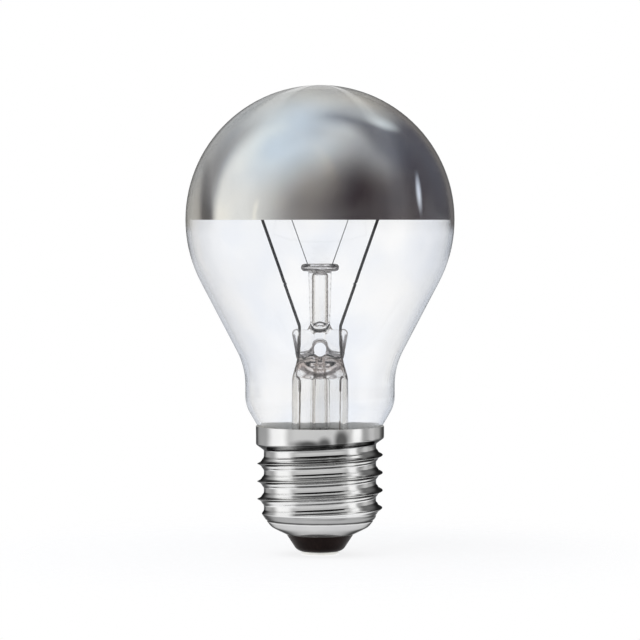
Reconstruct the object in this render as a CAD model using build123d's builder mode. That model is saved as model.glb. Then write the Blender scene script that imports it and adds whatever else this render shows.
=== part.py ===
from build123d import *
import math
import os

# Silver crown bulb: a clear glass lamp with a mirrored dome and an Edison screw cap.
# Millimetres, +Z up along the bulb's axis, cap down, origin at the tip of the centre contact.
# The photographed front looks along +Y, so left and right are -X and +X.

# Glass envelope
BULB_DIAMETER = 55.0
BULB_WALL = 0.7
CONE_ANGLE = 27.6  # slope of the straight flank below the dome, from vertical
NECK_STEP = 2.15  # how far the neck stands out beyond the skirt
NECK_TOP_ARC = 15.0  # hollow curve between flank and neck
NECK_LENGTH = 2.33  # straight stretch of the neck
NECK_TURN_ARC = 6.5
NECK_TAPER_ANGLE = 30.0
RIM_GAP = 0.085  # between the neck's taper and the inside of the skirt's rim
SEAL_GAP = 0.87  # room between the seal and the inside of the thread
SEAL_LENGTH = 0.95

# Mirror film inside the dome
FILM_THICKNESS = 0.12
FILM_GAP = 0.05

# Stem: flared tube, pinched to a flat plate with a thick bead round each lead
FLARE_RADIUS = 5.775
FLARE_WALL = 1.0
FLARE_HEIGHT = 4.0
TUBE_TOP_Z = 36.0
PRESS_SECTIONS = (  # height, width and thickness on the way up
    (38.6, 10.2, 7.4),
    (41.0, 9.3, 3.6),
    (43.2, 9.5, 2.0),
    (46.2, 10.4, 1.6),
)
BEAD_RADIUS = 0.95
BEAD_FOOT = (-0.3, 40.6)  # how far outside the lead, and the height
BEAD_TOP = (0.55, 45.45)
BORE_TOP_Z = 39.4
BORE_TOP = (7.4, 2.2)
BOSS_RADIUS = 3.3
EXHAUST_HOLE = (2.45, 2.9)
EXHAUST_HOLE_Z = 42.2
HOLE_LIP = 0.5  # width of the melted lip round the hole blown through the plate
HOLE_LIP_THICKNESS = 2.5
HOLE_LIP_ARC = 0.35
HUMP_FOOT_Z = 45.4
HUMP_FOOT = (3.1, 0.72)
HUMP_TOP_Z = 47.3
ARCH_HEIGHT = 0.5  # rounded glass that closes the arbor's bore from below

# Exhaust tube below the press
EXHAUST_RADIUS = 2.0
EXHAUST_BORE = 1.05
EXHAUST_TOP_Z = 36.4
EXHAUST_TIP_Z = 14.6

# Arbor: short glass tube with the button that holds the support wires
ARBOR_FOOT_RADIUS = 2.05
ARBOR_HEAD_RADIUS = 2.4
ARBOR_BORE = 1.1
BUTTON_RADIUS = 3.9
BUTTON_THICKNESS = 1.5
BUTTON_Z = 58.1

# Wires
LEAD_RADIUS = 0.3
LEAD_WALL_GAP = 0.575  # from a lead's axis to the inside of the stem's tube
LEAD_FOOT_Z = 45.9
LEAD_BEND_Z = 47.0
LEAD_TOP_X = 13.3
LEAD_RISE = 4.3  # top of the leads above the mirror's edge
LEAD_HOOK = 1.3
LEAD_BEND_RADIUS = 1.0
SEAL_WIRE_RADIUS = 0.22
SEAL_WIRE_FOOT_Z = 33.5
OUTER_LEAD_RADIUS = 0.17
FUSE_RADIUS = 0.09
FUSE_LENGTH = 6.0
SUPPORT_RADIUS = 0.1
SUPPORT_X = 2.6  # where a support wire leaves the button
SUPPORT_TOP_X = 6.75
SUPPORT_DEPTH = 1.0
FILAMENT_RADIUS = 0.25
FILAMENT_RISE = 0.5
FILAMENT_END = 1.0
HOOK_CLEARANCE = 0.05
HOOK_SHANK = 2.0
WIRE_CLEARANCE = 0.02
WIRE_SIDES = 8  # facets round a wire, which is too thin to show them
CONTACT_LEAD_BEND_Z = 13.0
CONTACT_LEAD_CENTRE_Z = 8.5
SIDE_LEAD_BEND_Z = 16.5
SIDE_LEAD_SLOPE = 1.0  # rise of the stretch that crosses over to the rear
SIDE_LEAD_RISE = 2.1  # last stretch outward to the hole in the skirt
LEAD_HOOK_ARC = 0.45

# Cap shell: thin sheet with a rolled right-hand thread
CREST_RADIUS = 12.9
THREAD_DEPTH = 1.25
SHEET = 0.28
SKIRT_STEP = 0.25  # how far the skirt stands out beyond the thread
RIM_Z = 26.4
BEVEL_TOP_Z = 23.3
BEVEL_ANGLE = 40.0  # from horizontal
BEVEL_LEAN = 2.9  # lowers the bevel on the left, where the thread runs into it
THREAD_PITCH = 3.629
THREAD_START_Z = 6.07  # crest height on the +X side where the thread begins
THREAD_TURNS = 5.0
RIDGE_BASE = 2.8  # width of the rolled ridge at its root, waist and crest
RIDGE_WAIST = 1.5
RIDGE_CREST = 0.3
WAIST_HEIGHT = 0.4
CREST_BEVEL = 0.2
RIDGE_BURIED = 0.2
LIP_RADIUS = 6.9
LIP_Z = 4.2
SHOULDER = (10.1, 5.7)
SHOULDER_ARC = 1.5
LEAD_IN_ANGLE = 35.0  # cone that the lowest turn fades into, from vertical
BEND_ARC = 0.4  # small bends of the sheet at the root and the skirt
SIDE_HOLE_RADIUS = 0.4
SIDE_HOLE_Z = 24.4

# Insulator, contact, solder and cement
GLASS_CLEARANCE = 0.03
INSULATOR_BOTTOM_Z = 0.7
INSULATOR_CORNER_RADIUS = 4.6
INSULATOR_ARC = 2.0
INSULATOR_HOLE = 1.0
INSULATOR_TOP_Z = 7.3
DISH_Z = 5.4
CONTACT_RADIUS = 3.84
CONTACT_EDGE = 0.3
EYELET_BORE = 0.7
EYELET_TOP_Z = 3.2
SOLDER_PAD_RADIUS = 1.8
SOLDER_PAD = 0.15
SOLDER_TOP_Z = 1.6
SIDE_SOLDER_RADIUS = 1.1
SIDE_SOLDER_HEIGHT = 0.6
SIDE_SOLDER_EDGE = 0.42
CEMENT_BOTTOM_Z = 24.8
CEMENT_TOP_Z = 26.1

os.makedirs("parts", exist_ok=True)


def save(builder, name):
    """Labels a finished piece and writes its file."""
    builder.part.label = name
    export_step(builder.part, f"parts/{name}.step")


def polar(centre, radius, degrees):
    """Point on a circle in the profile plane, the angle counted from the outward direction."""
    angle = math.radians(degrees)
    return (centre[0] + radius * math.cos(angle), centre[1] + radius * math.sin(angle))


# Radii that follow from the thread, from the cap outward to the neck
root_radius = CREST_RADIUS - THREAD_DEPTH
skirt_radius = CREST_RADIUS + SKIRT_STEP
neck_radius = skirt_radius + NECK_STEP
seal_radius = root_radius - SHEET - SEAL_GAP

# Heights of the glass: the neck's taper meets the skirt's rim, and the dome stands on the flank
taper = math.tan(math.radians(NECK_TAPER_ANGLE))
turn_centre_radius = neck_radius - NECK_TURN_ARC
taper_start = polar((turn_centre_radius, 0), NECK_TURN_ARC, -NECK_TAPER_ANGLE)
taper_rise = (taper_start[0] - (skirt_radius - SHEET - RIM_GAP)) / taper
neck_turn_z = RIM_Z + taper_rise - taper_start[1]
dome_radius = BULB_DIAMETER / 2
slope = math.radians(CONE_ANGLE)
flank_foot_radius = neck_radius + NECK_TOP_ARC * (1 - math.cos(slope))
flank_height = (dome_radius * math.cos(slope) - flank_foot_radius) / math.tan(slope)
flank_foot_z = neck_turn_z + NECK_LENGTH + NECK_TOP_ARC * math.sin(slope)
equator_z = flank_foot_z + flank_height + dome_radius * math.sin(slope)


def neck_taper_radius(z, inset=0.0):
    """Radius of the neck's tapered stretch at a height, set in from the outer glass surface."""
    turn_centre = (turn_centre_radius, neck_turn_z)
    start = polar(turn_centre, NECK_TURN_ARC - inset, -NECK_TAPER_ANGLE)
    return start[0] - (start[1] - z) * taper


def neck_taper_z(radius, inset=0.0):
    """Height at which the neck's tapered stretch has a radius."""
    return neck_turn_z - (neck_taper_radius(neck_turn_z, inset) - radius) / taper


seal_z = neck_taper_z(seal_radius) - SEAL_LENGTH
flare_bore = FLARE_RADIUS - FLARE_WALL
lead_x = flare_bore - LEAD_WALL_GAP
arbor_top_z = BUTTON_Z + BUTTON_THICKNESS
lead_top_z = equator_z + LEAD_RISE
filament_top_z = lead_top_z + FILAMENT_RISE
lead_end_x = LEAD_TOP_X - LEAD_HOOK


def envelope_outline(inset):
    """Glass outline from the seal up to the top of the dome, set in from the outer surface."""
    neck = neck_radius - inset
    hollow = NECK_TOP_ARC + inset
    dome_end = polar((0, equator_z), dome_radius - inset, -CONE_ANGLE)
    hollow_foot = (neck, neck_turn_z + NECK_LENGTH)
    hollow_top = polar((neck + hollow, hollow_foot[1]), hollow, 180 - CONE_ANGLE)
    turn_centre = (turn_centre_radius, neck_turn_z)
    turn_mid = polar(turn_centre, NECK_TURN_ARC - inset, -NECK_TAPER_ANGLE / 2)
    turn_foot = polar(turn_centre, NECK_TURN_ARC - inset, -NECK_TAPER_ANGLE)
    seal = seal_radius - inset
    Polyline((seal, seal_z), (seal, neck_taper_z(seal, inset)), turn_foot)
    ThreePointArc(turn_foot, turn_mid, (neck, neck_turn_z))
    Line((neck, neck_turn_z), hollow_foot)
    RadiusArc(hollow_foot, hollow_top, hollow)
    Line(hollow_top, dome_end)
    dome_mid = polar((0, equator_z), dome_radius - inset, 45 - CONE_ANGLE / 2)
    ThreePointArc(dome_end, dome_mid, (0, equator_z + dome_radius - inset))


def mitred(points, inset):
    """Moves an open outline to its left by inset, keeping every stretch parallel."""
    corners = [Vector(*point) for point in points]
    steps = [(b - a).normalized() for a, b in zip(corners, corners[1:])]
    sides = [Vector(-step.Y, step.X) for step in steps]
    moved = [corners[0] + sides[0] * inset]
    for corner, before, after in zip(corners[1:-1], sides, sides[1:]):
        joint = before + after
        moved.append(corner + joint * (2 * inset / joint.dot(joint)))
    moved.append(corners[-1] + sides[-1] * inset)
    return moved


def skirt_body(inset):
    """Solid of the skirt, whose lower bevel leans so that its edge follows the thread."""
    bevel = math.tan(math.radians(BEVEL_ANGLE))
    foot = root_radius - 2 * SHEET
    widest = skirt_radius + SKIRT_STEP + NECK_STEP
    outline = [
        (foot, (foot - skirt_radius) * bevel),
        (widest, (widest - skirt_radius) * bevel),
        (widest, skirt_radius),
    ]
    with BuildPart() as skirt:
        with BuildSketch(Plane.XZ):
            with BuildLine():
                corners = mitred(outline, inset)
                Polyline(*corners, (0, skirt_radius), (0, corners[0].Y), corners[0])
            make_face()
        revolve(axis=Axis.Z)
    leaned = skirt.part.rotate(Axis.Y, -BEVEL_LEAN).moved(Location((0, 0, BEVEL_TOP_Z)))
    with BuildPart() as trimmed:
        with BuildSketch():
            Circle(skirt_radius - inset)
        extrude(amount=RIM_Z)
        add(leaned, mode=Mode.INTERSECT)
    return trimmed.part


def lower_corners():
    """Outer corners of the cap's end: its lip, its shoulder and the cone that ends the thread."""
    widest = skirt_radius + SHEET
    lead_in = math.tan(math.radians(LEAD_IN_ANGLE))
    return [
        (LIP_RADIUS, LIP_Z),
        SHOULDER,
        (widest, SHOULDER[1] + (widest - SHOULDER[0]) / lead_in),
        (widest, RIM_Z),
    ]


def ridge_corners(inset):
    """Half of the rolled ridge's cross-section, as radius and distance from its middle."""
    root = root_radius - inset
    foot = (root, RIDGE_BASE / 2)
    waist = (root + WAIST_HEIGHT, (RIDGE_WAIST - inset) / 2)
    steepness = (foot[1] - waist[1]) / WAIST_HEIGHT
    buried = (root - RIDGE_BURIED, foot[1] + RIDGE_BURIED * steepness)
    if inset:
        # The folded sheet closes on itself under the crest.
        return [buried, waist, (CREST_RADIUS - 1.5 * inset, 0)]
    bevel = (CREST_RADIUS - CREST_BEVEL, RIDGE_CREST)
    return [buried, waist, bevel, (CREST_RADIUS, RIDGE_CREST / 2)]


def threaded_body(inset):
    """Solid that fills the cap out to its sheet's surface, set in by inset."""
    half = ridge_corners(inset)
    lower = [(r, THREAD_START_Z - z) for r, z in half]
    upper = [(r, THREAD_START_Z + z) for r, z in reversed(half) if z]
    skirt = skirt_body(inset)
    with BuildPart() as body:
        with BuildSketch():
            Circle(root_radius - inset)
        extrude(amount=RIM_Z)
        with BuildLine() as spiral:
            Helix(
                THREAD_PITCH,
                THREAD_PITCH * THREAD_TURNS,
                root_radius,
                center=(0, 0, THREAD_START_Z),
            )
        with BuildSketch(Plane.XZ):
            with BuildLine():
                Polyline(*lower, *upper, close=True)
            make_face()
        sweep(path=spiral.line, is_frenet=True)
        with BuildSketch(Plane.XZ):
            with BuildLine():
                corners = mitred(lower_corners(), inset)
                FilletPolyline(*corners, radius=[SHOULDER_ARC - inset, BEND_ARC])
                Polyline(corners[-1], (0, RIM_Z), (0, corners[0].Y), corners[0])
            make_face()
        revolve(axis=Axis.Z, mode=Mode.INTERSECT)
        add(skirt)
    return body.part


# Glass envelope: one thin blown wall, open at the seal
with BuildPart() as glass_envelope:
    with BuildSketch(Plane.XZ):
        with BuildLine():
            envelope_outline(0)
            envelope_outline(BULB_WALL)
            Line((seal_radius - BULB_WALL, seal_z), (seal_radius, seal_z))
            Line((0, equator_z + dome_radius), (0, equator_z + dome_radius - BULB_WALL))
        make_face()
    revolve(axis=Axis.Z)
save(glass_envelope, "glass_envelope")

# Silver crown: mirror film over the inside of the upper half
film_outer = dome_radius - BULB_WALL - FILM_GAP
film_inner = film_outer - FILM_THICKNESS
with BuildPart() as silver_crown:
    with BuildSketch(Plane.XZ):
        with BuildLine():
            for radius in (film_outer, film_inner):
                CenterArc((0, equator_z), radius, 0, 90)
            Line((film_inner, equator_z), (film_outer, equator_z))
            Line((0, equator_z + film_inner), (0, equator_z + film_outer))
        make_face()
    revolve(axis=Axis.Z)
save(silver_crown, "silver_crown")

# Lip melted round the hole in the press
with BuildPart() as hole_lip:
    with BuildSketch(Plane.XZ.offset(-HOLE_LIP_THICKNESS / 2)):
        with Locations((0, EXHAUST_HOLE_Z)):
            lip_size = [size + 2 * HOLE_LIP for size in EXHAUST_HOLE]
            SlotOverall(lip_size[1], lip_size[0], rotation=90)
    extrude(amount=HOLE_LIP_THICKNESS)
    fillet(edges().group_by(Axis.Y)[0] + edges().group_by(Axis.Y)[-1], HOLE_LIP_ARC)

# Flare and press: a tube flared out to the seal below and pinched flat round the wires above
flare_foot = seal_radius - BULB_WALL - GLASS_CLEARANCE
flare_top_z = seal_z + FLARE_HEIGHT
with BuildPart() as flare_and_press:
    with BuildSketch(Plane.XZ):
        with BuildLine():
            Polyline(
                (seal_radius, seal_z),
                (flare_foot, seal_z),
                (FLARE_RADIUS, flare_top_z),
                (FLARE_RADIUS, TUBE_TOP_Z),
                (0, TUBE_TOP_Z),
                (0, seal_z - FLARE_WALL),
                (seal_radius, seal_z - FLARE_WALL),
                close=True,
            )
        make_face()
    revolve(axis=Axis.Z)
    with BuildSketch(Plane.XY.offset(TUBE_TOP_Z)):
        Circle(FLARE_RADIUS)
    for z, width, thickness in PRESS_SECTIONS:
        with BuildSketch(Plane.XY.offset(z)):
            SlotOverall(width, thickness)
    loft()
    with BuildSketch(Plane.XY.offset(HUMP_FOOT_Z)):
        Ellipse(*HUMP_FOOT)
    with BuildSketch(Plane.XY.offset(HUMP_TOP_Z)):
        Circle(ARBOR_FOOT_RADIUS)
    loft()
    arch_radius = ARBOR_BORE - GLASS_CLEARANCE
    with Locations((0, 0, HUMP_TOP_Z + ARCH_HEIGHT - arch_radius)):
        Sphere(arch_radius)
    # A bead of glass round each lead
    for side in (-1, 1):
        bead_foot = Vector(side * (lead_x + BEAD_FOOT[0]), 0, BEAD_FOOT[1])
        bead_top = Vector(side * (lead_x + BEAD_TOP[0]), 0, BEAD_TOP[1])
        with BuildLine() as bead:
            Line(bead_foot, bead_top)
        with BuildSketch(Plane(bead_foot, z_dir=bead_top - bead_foot)):
            Circle(BEAD_RADIUS)
        sweep(path=bead.line)
        with Locations(bead_top):
            Sphere(BEAD_RADIUS)
    # Bore of the flare and tube, closing to a slot under the press
    with BuildSketch(Plane.XZ):
        with BuildLine():
            Polyline(
                (flare_foot - FLARE_WALL / 2, seal_z - FLARE_WALL),
                (flare_bore, flare_top_z - FLARE_WALL / 2),
                (flare_bore, TUBE_TOP_Z),
                (0, TUBE_TOP_Z),
                (0, seal_z - FLARE_WALL),
                close=True,
            )
        make_face()
    revolve(axis=Axis.Z, mode=Mode.SUBTRACT)
    with BuildSketch(Plane.XY.offset(TUBE_TOP_Z)):
        Circle(flare_bore)
    with BuildSketch(Plane.XY.offset(BORE_TOP_Z)):
        SlotOverall(*BORE_TOP)
    loft(mode=Mode.SUBTRACT)
    # Boss that the exhaust tube is melted to, its bore and the hole blown through the press
    with BuildSketch(Plane.XZ):
        with BuildLine():
            Polyline(
                (EXHAUST_BORE, EXHAUST_TOP_Z),
                (EXHAUST_RADIUS, EXHAUST_TOP_Z),
                (BOSS_RADIUS, BORE_TOP_Z),
                (EXHAUST_BORE, BORE_TOP_Z),
                close=True,
            )
        make_face()
    revolve(axis=Axis.Z)
    add(hole_lip)
    with BuildSketch(Plane.XY.offset(EXHAUST_TOP_Z)):
        Circle(EXHAUST_BORE)
    extrude(amount=EXHAUST_HOLE_Z - EXHAUST_TOP_Z, mode=Mode.SUBTRACT)
    with BuildSketch(Plane.XZ):
        with Locations((0, EXHAUST_HOLE_Z)):
            SlotOverall(EXHAUST_HOLE[1], EXHAUST_HOLE[0], rotation=90)
    extrude(amount=FLARE_RADIUS, both=True, mode=Mode.SUBTRACT)
    # Channels that the seal wires fill
    with BuildSketch(Plane.XY.offset(TUBE_TOP_Z)):
        with Locations((-lead_x, 0), (lead_x, 0)):
            Circle(LEAD_RADIUS + WIRE_CLEARANCE)
    extrude(amount=HUMP_TOP_Z - TUBE_TOP_Z, mode=Mode.SUBTRACT)
save(flare_and_press, "flare_and_press")

# Exhaust tube: tipped off below, where the bulb was pumped out and sealed
with BuildPart() as exhaust_tube:
    tip_centre = (0, EXHAUST_TIP_Z + EXHAUST_RADIUS)
    with BuildSketch(Plane.XZ):
        with BuildLine():
            CenterArc(tip_centre, EXHAUST_RADIUS, 270, 90)
            Polyline(
                (EXHAUST_RADIUS, tip_centre[1]),
                (EXHAUST_RADIUS, EXHAUST_TOP_Z),
                (EXHAUST_BORE, EXHAUST_TOP_Z),
                (EXHAUST_BORE, tip_centre[1]),
                (0, tip_centre[1] - EXHAUST_BORE),
                (0, EXHAUST_TIP_Z),
            )
        make_face()
    revolve(axis=Axis.Z)
save(exhaust_tube, "exhaust_tube")

# Arbor: tapered tube on the press, closed by the flattened button
with BuildPart() as arbor:
    with BuildSketch(Plane.XZ):
        with BuildLine():
            edge = BUTTON_THICKNESS / 2
            Polyline(
                (ARBOR_BORE, HUMP_TOP_Z),
                (ARBOR_FOOT_RADIUS, HUMP_TOP_Z),
                (ARBOR_HEAD_RADIUS, BUTTON_Z),
                (BUTTON_RADIUS - edge, BUTTON_Z),
            )
            CenterArc((BUTTON_RADIUS - edge, BUTTON_Z + edge), edge, 270, 180)
            Polyline(
                (BUTTON_RADIUS - edge, arbor_top_z),
                (0, arbor_top_z),
                (0, BUTTON_Z + edge / 2),
            )
            RadiusArc((0, BUTTON_Z + edge / 2), (ARBOR_BORE, BUTTON_Z - edge), 2 * ARBOR_BORE)
            Line((ARBOR_BORE, BUTTON_Z - edge), (ARBOR_BORE, HUMP_TOP_Z))
        make_face()
    revolve(axis=Axis.Z)
    with BuildSketch(Plane.XY.offset(arbor_top_z)):
        with Locations((-SUPPORT_X, 0), (SUPPORT_X, 0)):
            Circle(SUPPORT_RADIUS + WIRE_CLEARANCE)
    extrude(amount=-SUPPORT_DEPTH, mode=Mode.SUBTRACT)
save(arbor, "arbor")


def straight_wire(x, foot_z, top_z, radius):
    """Upright wire between two heights."""
    with BuildPart() as wire:
        with BuildSketch(Plane((x, 0, foot_z))):
            RegularPolygon(radius, WIRE_SIDES)
        extrude(amount=top_z - foot_z)
    return wire


def bent_wire(points, bend, radius):
    """Round wire along straight runs joined by tangent arcs."""
    with BuildPart() as wire:
        with BuildLine() as route:
            FilletPolyline(*points, radius=bend)
        with BuildSketch(Plane(route.line @ 0, z_dir=route.line % 0)):
            RegularPolygon(radius, WIRE_SIDES)
        sweep(path=route.line)
    return wire


def support_wire(side):
    """Fine wire from the button, ending in a hook over the filament."""
    reach = FILAMENT_RADIUS + SUPPORT_RADIUS + HOOK_CLEARANCE
    foot_x, top_x = side * SUPPORT_X, side * SUPPORT_TOP_X
    with BuildPart() as wire:
        with BuildLine() as route:
            Polyline(
                (foot_x, 0, arbor_top_z - SUPPORT_DEPTH),
                (foot_x, 0, arbor_top_z + SUPPORT_RADIUS),
                (top_x, -reach, filament_top_z - HOOK_SHANK),
                (top_x, -reach, filament_top_z + reach),
                (top_x, reach, filament_top_z + reach),
                (top_x, reach, filament_top_z - reach),
            )
        with BuildSketch(Plane(route.line @ 0, z_dir=route.line % 0)):
            RegularPolygon(SUPPORT_RADIUS, WIRE_SIDES)
        sweep(path=route.line, transition=Transition.RIGHT)
    return wire


for side, name in ((-1, "left"), (1, "right")):
    inner_lead = bent_wire(
        [
            (side * lead_x, 0, LEAD_FOOT_Z),
            (side * lead_x, 0, LEAD_BEND_Z),
            (side * LEAD_TOP_X, 0, lead_top_z),
            (side * lead_end_x, 0, lead_top_z),
        ],
        [LEAD_BEND_RADIUS, LEAD_HOOK_ARC],
        LEAD_RADIUS,
    )
    save(inner_lead, f"inner_lead_{name}")
    seal_wire = straight_wire(side * lead_x, SEAL_WIRE_FOOT_Z, LEAD_FOOT_Z, SEAL_WIRE_RADIUS)
    save(seal_wire, f"seal_wire_{name}")
    save(support_wire(side), f"support_wire_{name}")

# Filament: outer form of the fine coil between the two leads, held up by the support wires
filament = bent_wire(
    [
        (-lead_end_x, 0, lead_top_z),
        (-lead_end_x + FILAMENT_END, 0, lead_top_z),
        (-SUPPORT_TOP_X, 0, filament_top_z),
        (SUPPORT_TOP_X, 0, filament_top_z),
        (lead_end_x - FILAMENT_END, 0, lead_top_z),
        (lead_end_x, 0, lead_top_z),
    ],
    LEAD_BEND_RADIUS,
    FILAMENT_RADIUS,
)
save(filament, "filament")

# Outer leads: the right one through the fuse to the centre contact, the left one to the skirt
fuse_foot_z = SEAL_WIRE_FOOT_Z - FUSE_LENGTH
save(straight_wire(lead_x, fuse_foot_z, SEAL_WIRE_FOOT_Z, FUSE_RADIUS), "fuse_wire")

contact_lead = bent_wire(
    [
        (lead_x, 0, fuse_foot_z),
        (lead_x, 0, CONTACT_LEAD_BEND_Z),
        (0, 0, CONTACT_LEAD_CENTRE_Z),
        (0, 0, SOLDER_TOP_Z),
    ],
    LEAD_BEND_RADIUS,
    OUTER_LEAD_RADIUS,
)
save(contact_lead, "contact_lead")

seal_gap_middle = seal_radius + SEAL_GAP / 2
skirt_gap_middle = (neck_taper_radius(SIDE_HOLE_Z) + skirt_radius - SHEET) / 2
side_lead = bent_wire(
    [
        (-lead_x, 0, SEAL_WIRE_FOOT_Z),
        (-lead_x, 0, SIDE_LEAD_BEND_Z),
        (0, seal_gap_middle, SIDE_LEAD_BEND_Z + SIDE_LEAD_SLOPE),
        (0, seal_gap_middle, SIDE_HOLE_Z - SIDE_LEAD_RISE),
        (0, skirt_gap_middle, SIDE_HOLE_Z),
        (0, skirt_radius, SIDE_HOLE_Z),
    ],
    LEAD_BEND_RADIUS / 2,
    OUTER_LEAD_RADIUS,
)
save(side_lead, "side_lead")

# Cap shell: rolled sheet, threaded inside and out, with a hole for the side lead
cap_blank = threaded_body(0)
cap_room = threaded_body(SHEET)
lip_inside = mitred(lower_corners(), SHEET)[0]
with BuildPart() as cap_shell:
    add(cap_blank)
    add(cap_room, mode=Mode.SUBTRACT)
    with BuildSketch(Plane.XZ):
        with BuildLine():
            Polyline(
                (0, LIP_Z), (LIP_RADIUS, LIP_Z), lip_inside, (0, lip_inside.Y), close=True
            )
        make_face()
    revolve(axis=Axis.Z, mode=Mode.SUBTRACT)
    with BuildSketch(Plane.XZ):
        with Locations((0, SIDE_HOLE_Z)):
            Circle(SIDE_HOLE_RADIUS)
    extrude(amount=-skirt_radius, mode=Mode.SUBTRACT)
save(cap_shell, "cap_shell")

# Insulator: black glass poured into the shell's lower end, with a hole for the contact lead
with BuildPart() as cap_insulator:
    inset = SHEET + GLASS_CLEARANCE
    bed = mitred(lower_corners(), inset)
    lip_step = (bed[1] - bed[0]).normalized() * GLASS_CLEARANCE
    lip_edge = Vector(LIP_RADIUS, LIP_Z) - lip_step
    rise = (INSULATOR_TOP_Z - bed[1].Y) / (bed[2].Y - bed[1].Y)
    top_edge = bed[1] + (bed[2] - bed[1]) * rise
    with BuildSketch(Plane.XZ):
        with BuildLine():
            FilletPolyline(
                (INSULATOR_HOLE, INSULATOR_BOTTOM_Z),
                (INSULATOR_CORNER_RADIUS, INSULATOR_BOTTOM_Z),
                lip_edge,
                radius=INSULATOR_ARC,
            )
            Line(lip_edge, bed[0] - lip_step)
            FilletPolyline(bed[0] - lip_step, bed[1], top_edge, radius=SHOULDER_ARC - inset)
            Polyline(
                top_edge,
                (INSULATOR_HOLE, DISH_Z),
                (INSULATOR_HOLE, INSULATOR_BOTTOM_Z),
            )
        make_face()
    revolve(axis=Axis.Z)
save(cap_insulator, "cap_insulator")

# Contact plate: pressed disc with an eyelet through the insulator
with BuildPart() as contact_plate:
    eyelet = INSULATOR_HOLE - WIRE_CLEARANCE
    flat = CONTACT_RADIUS - CONTACT_EDGE
    with BuildSketch(Plane.XZ):
        with BuildLine():
            Polyline(
                (flat, SOLDER_PAD),
                (CONTACT_RADIUS, SOLDER_PAD + CONTACT_EDGE),
                (CONTACT_RADIUS, INSULATOR_BOTTOM_Z),
                (eyelet, INSULATOR_BOTTOM_Z),
                (eyelet, EYELET_TOP_Z),
                (EYELET_BORE, EYELET_TOP_Z),
                (EYELET_BORE, SOLDER_PAD),
                close=True,
            )
        make_face()
    revolve(axis=Axis.Z)
save(contact_plate, "contact_plate")

# Contact solder: fills the eyelet up to the lead's end and spreads to a flat pad
with BuildPart() as contact_solder:
    with BuildSketch(Plane.XY):
        Circle(SOLDER_PAD_RADIUS)
    extrude(amount=SOLDER_PAD)
    chamfer(edges().group_by(Axis.Z)[0], SOLDER_PAD / 2)
    with BuildSketch(Plane.XY.offset(SOLDER_PAD)):
        Circle(EYELET_BORE - WIRE_CLEARANCE)
    extrude(amount=SOLDER_TOP_Z - SOLDER_PAD)
save(contact_solder, "contact_solder")

# Side solder: dab on the rear of the skirt over the end of the side lead
with BuildPart() as side_solder:
    with BuildSketch(Plane.XZ.offset(-skirt_radius + SHEET)):
        with Locations((0, SIDE_HOLE_Z)):
            Circle(SIDE_SOLDER_RADIUS)
    extrude(amount=-SHEET - SIDE_SOLDER_HEIGHT)
    chamfer(edges().group_by(Axis.Y)[-1], SIDE_SOLDER_EDGE)
    with BuildSketch(Plane.XY.offset(SIDE_HOLE_Z - 2 * SIDE_SOLDER_RADIUS)):
        Circle(skirt_radius + WIRE_CLEARANCE)
    extrude(amount=4 * SIDE_SOLDER_RADIUS, mode=Mode.SUBTRACT)
save(side_solder, "side_solder")

# Basing cement: ring between the neck and the skirt
with BuildPart() as basing_cement:
    outer = skirt_radius - SHEET - GLASS_CLEARANCE
    with BuildSketch(Plane.XZ):
        with BuildLine():
            Polyline(
                (neck_taper_radius(CEMENT_BOTTOM_Z) + GLASS_CLEARANCE, CEMENT_BOTTOM_Z),
                (outer, CEMENT_BOTTOM_Z),
                (outer, CEMENT_TOP_Z),
                (neck_taper_radius(CEMENT_TOP_Z) + GLASS_CLEARANCE, CEMENT_TOP_Z),
                close=True,
            )
        make_face()
    revolve(axis=Axis.Z)
save(basing_cement, "basing_cement")
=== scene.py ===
import math

import bmesh
import bpy
import numpy as np
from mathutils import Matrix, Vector


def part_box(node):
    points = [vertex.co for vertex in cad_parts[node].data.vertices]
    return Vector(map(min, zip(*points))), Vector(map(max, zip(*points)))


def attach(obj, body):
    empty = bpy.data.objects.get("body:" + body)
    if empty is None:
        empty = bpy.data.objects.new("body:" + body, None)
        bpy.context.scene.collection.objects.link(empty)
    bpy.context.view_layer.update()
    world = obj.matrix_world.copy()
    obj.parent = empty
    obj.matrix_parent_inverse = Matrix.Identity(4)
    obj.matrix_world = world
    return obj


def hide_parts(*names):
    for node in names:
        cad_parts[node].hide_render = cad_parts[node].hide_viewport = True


# Looks of the silver crown bulb, in metres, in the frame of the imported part.
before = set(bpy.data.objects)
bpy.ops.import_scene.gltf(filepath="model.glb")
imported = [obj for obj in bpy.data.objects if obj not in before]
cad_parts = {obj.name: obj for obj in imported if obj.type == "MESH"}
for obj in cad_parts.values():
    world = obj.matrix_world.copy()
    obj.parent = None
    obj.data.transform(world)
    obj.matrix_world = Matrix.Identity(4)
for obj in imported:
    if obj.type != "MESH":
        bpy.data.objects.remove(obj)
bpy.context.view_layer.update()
scene = bpy.context.scene

# Radii and heights are written in millimetres, and MM turns them into metres.
MM = 0.001

# Cap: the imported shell's form as one fine surface
THREAD_PITCH = 3.629
THREAD_START_Z = 5.97  # height of the crest on the +X side, one turn below the lowest full one
THREAD_TOP_Z = 22.3
ROOT_RADIUS = 11.5
CREST_HEIGHT = 1.1
CREST_SPREAD = 0.34  # how fast the flanks fall away from the crest
CREST_ROUNDING = 0.1
SWELL_HEIGHT = 0.27  # broad swelling that the crest stands on
SWELL_EDGE = (0.75, 1.4)
SKIRT_RADIUS = 13.13
SKIRT_EDGE_Z = 23.3
SKIRT_LEAN = 0.665  # how much higher the skirt's lower edge is on the right
SKIRT_SLOPE = 1.4
THREAD_FADE = (2.4, 1.6)  # below the skirt's edge
RIM_Z = 26.4
SHEET = 0.28
LIP = (6.93, 4.2)  # radius and height
SHOULDER = (10.1, 5.7)  # radius and height
CONE_SLOPE = 0.7
FOLD = 0.14  # rounding where two forms meet
SHOULDER_FOLD = 0.5
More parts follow.
